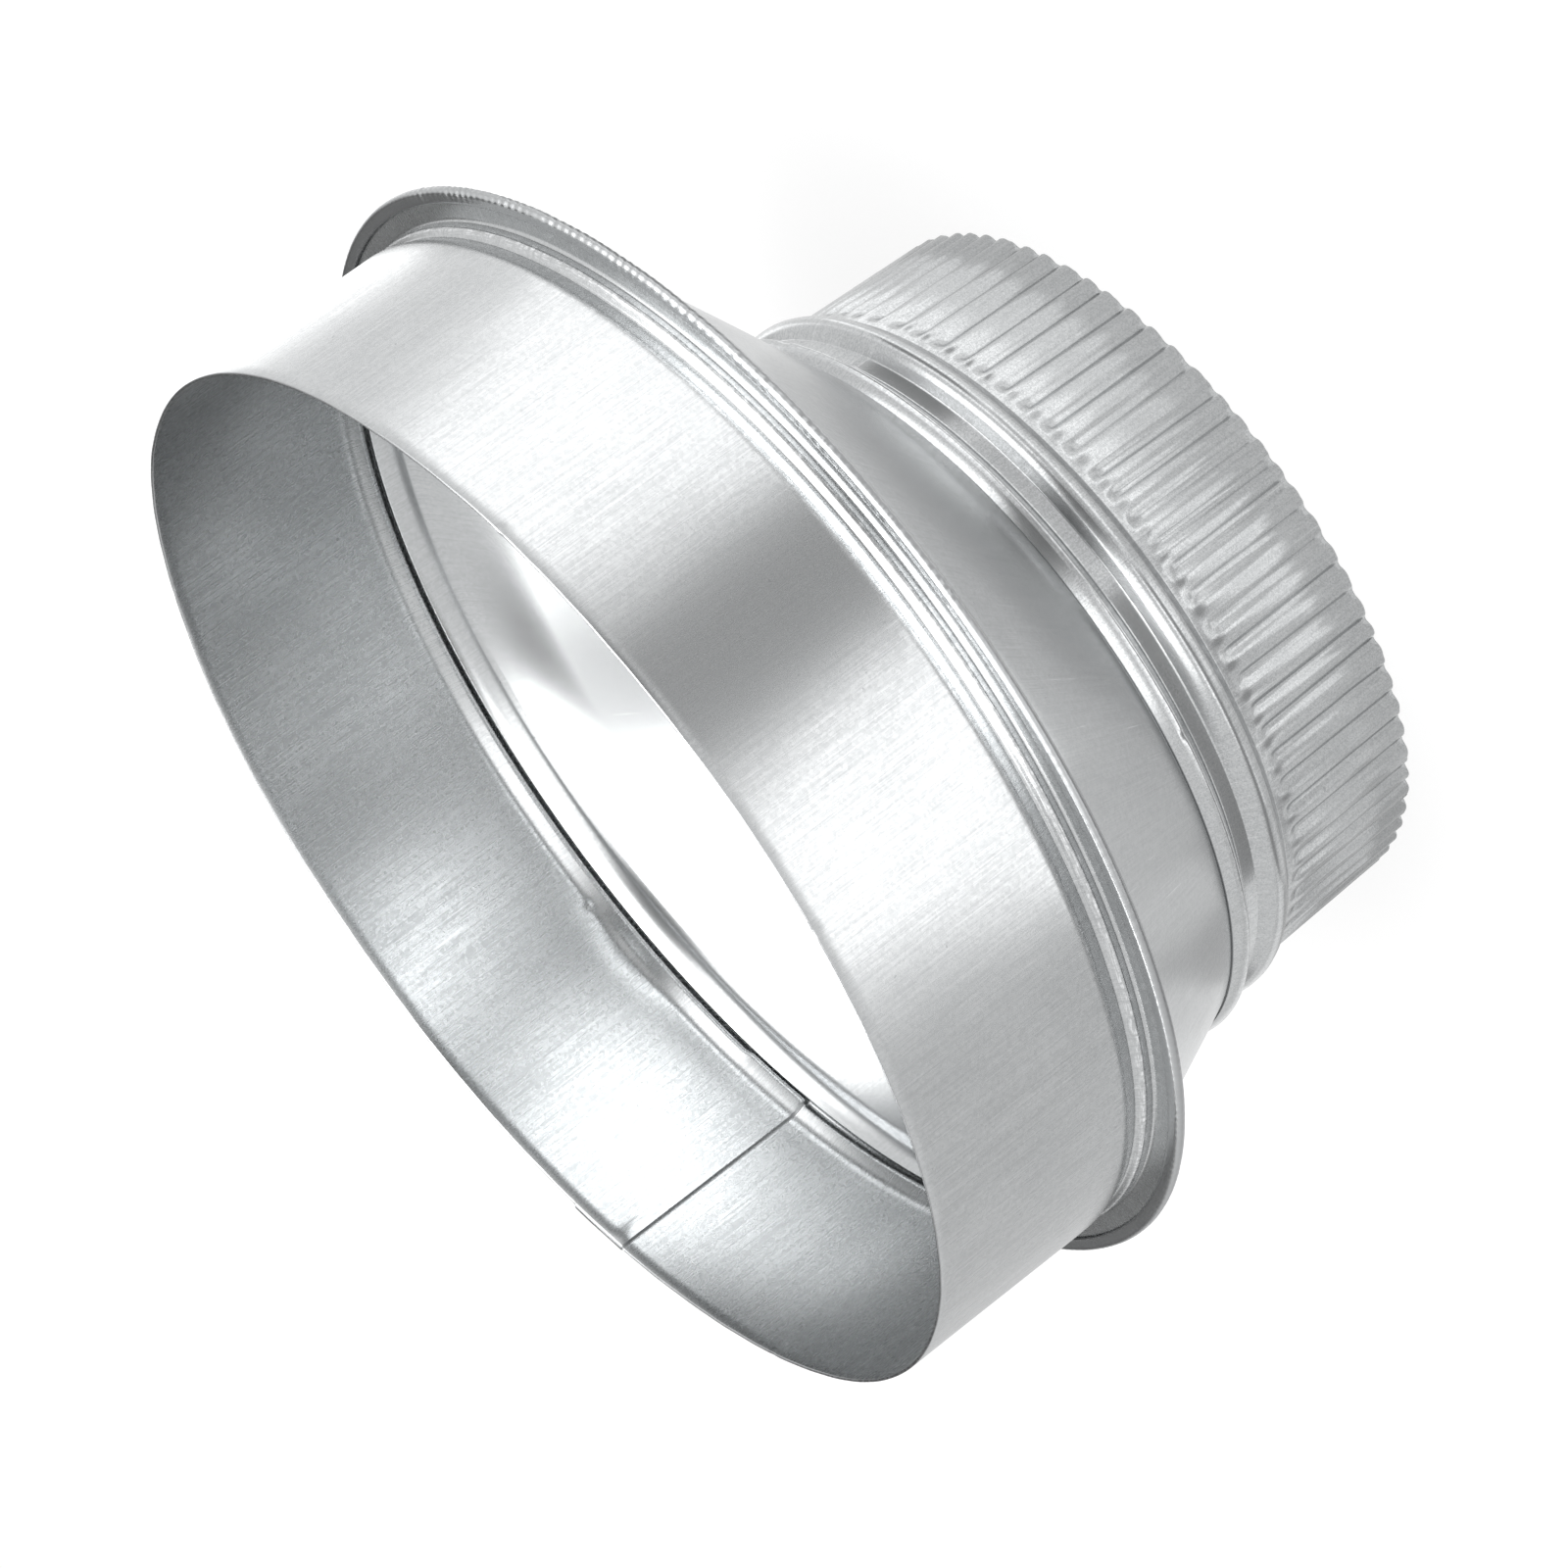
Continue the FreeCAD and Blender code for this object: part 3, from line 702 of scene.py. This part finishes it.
half = studio["floorHalf"]
floorMesh = bpy.data.meshes.new("floor")
floorMesh.from_pydata([(-half, -half, 0), (half, -half, 0), (half, half, 0), (-half, half, 0)],
                      [], [(0, 1, 2, 3)])
floor = bpy.data.objects.new("floor", floorMesh)
bpy.context.scene.collection.objects.link(floor)
paper = bpy.data.materials.new("whitePaper")
paper.use_nodes = True
tree = paper.node_tree
tree.nodes.clear()
out = tree.nodes.new("ShaderNodeOutputMaterial")
matt = tree.nodes.new("ShaderNodeBsdfDiffuse")
matt.inputs["Color"].default_value = (studio["floorWhite"],) * 3 + (1,)
glow = tree.nodes.new("ShaderNodeEmission")
glow.inputs["Strength"].default_value = 1.0
blend = tree.nodes.new("ShaderNodeMixShader")
share = maths(tree, "MULTIPLY", backgroundShare(tree), studio["showWhite"])
tree.links.new(share, blend.inputs["Fac"])
tree.links.new(matt.outputs[0], blend.inputs[1])
tree.links.new(glow.outputs[0], blend.inputs[2])
tree.links.new(blend.outputs[0], out.inputs["Surface"])
floorMesh.materials.append(paper)



def cardMaterial(brightness):
    made = bpy.data.materials.new("studioCard")
    made.use_nodes = True
    made.node_tree.nodes.clear()
    glow = made.node_tree.nodes.new("ShaderNodeEmission")
    glow.inputs["Strength"].default_value = brightness
    out = made.node_tree.nodes.new("ShaderNodeOutputMaterial")
    made.node_tree.links.new(glow.outputs[0], out.inputs["Surface"])
    return made


def placeCard(name, corners, quads, brightness):
    # A card shows in the metal alone: it is out of the picture and casts no shadow
    cardMesh = bpy.data.meshes.new(name)
    cardMesh.from_pydata(corners, [], quads)
    cardMesh.materials.append(cardMaterial(brightness))
    card = bpy.data.objects.new(name, cardMesh)
    card.visible_camera = False
    card.visible_shadow = False
    card.visible_diffuse = False
    bpy.context.scene.collection.objects.link(card)


for name, near, far, strips in tableRings:
    first = firstStrip
    for last, brightness in strips:
        tableCards.append((name, first, last, near, far, brightness))
        first = last

for name, first, last, near, far, brightness in tableCards:
    # The near cards lie round the small collar, the far ones round the large one
    middle = -0.0126 if far < 0.17 else 0
    turn = np.radians(np.linspace(first, last, 13))
    corners = [(middle + r * math.cos(a), r * math.sin(a), 0.0002) for r in (near, far) for a in turn]
    count = len(turn)
    placeCard(name, corners, [(k, k + count, k + count + 1, k + 1) for k in range(count - 1)], brightness)

for name, azimuth, distance, width, foot, top, brightness in standingCards:
    a = math.radians(azimuth)
    centre = (distance * math.cos(a), distance * math.sin(a))
    side = (-math.sin(a) * width / 2, math.cos(a) * width / 2)
    corners = [(centre[0] + k * side[0], centre[1] + k * side[1], z)
               for k, z in ((-1, foot), (1, foot), (1, top), (-1, top))]
    placeCard(name, corners, [(0, 1, 2, 3)], brightness)

world = bpy.data.worlds.new("whiteRoom")
bpy.context.scene.world = world
world.use_nodes = True
tree = world.node_tree
sky = tree.nodes["Background"]
sky.inputs["Color"].default_value = (1, 1, 1, 1)
level = maths(tree, "MULTIPLY_ADD", backgroundShare(tree), 1 - studio["skyLight"])
level.node.inputs[2].default_value = studio["skyLight"]
tree.links.new(level, sky.inputs["Strength"])

print("stage: camera")
view = {
    "place": (-0.00837, -0.76197, 0.34655),
    "right": (-0.59754, -0.28332, -0.75012),
    "up": (0.80184, -0.21113, -0.55900),
    "back": (0.0, -0.93550, 0.35333),
    "lens": 146.25,
}
cameraData = bpy.data.cameras.new("camera")
cameraData.lens = view["lens"]
cameraData.sensor_width = 36
camera = bpy.data.objects.new("camera", cameraData)
bpy.context.scene.collection.objects.link(camera)
turn = Matrix((view["right"], view["up"], view["back"])).transposed()
camera.matrix_world = Matrix.Translation(view["place"]) @ turn.to_4x4()
bpy.context.scene.camera = camera
bpy.context.scene.view_settings.view_transform = "Standard"

bpy.context.view_layer.update()

print("stage: finish")
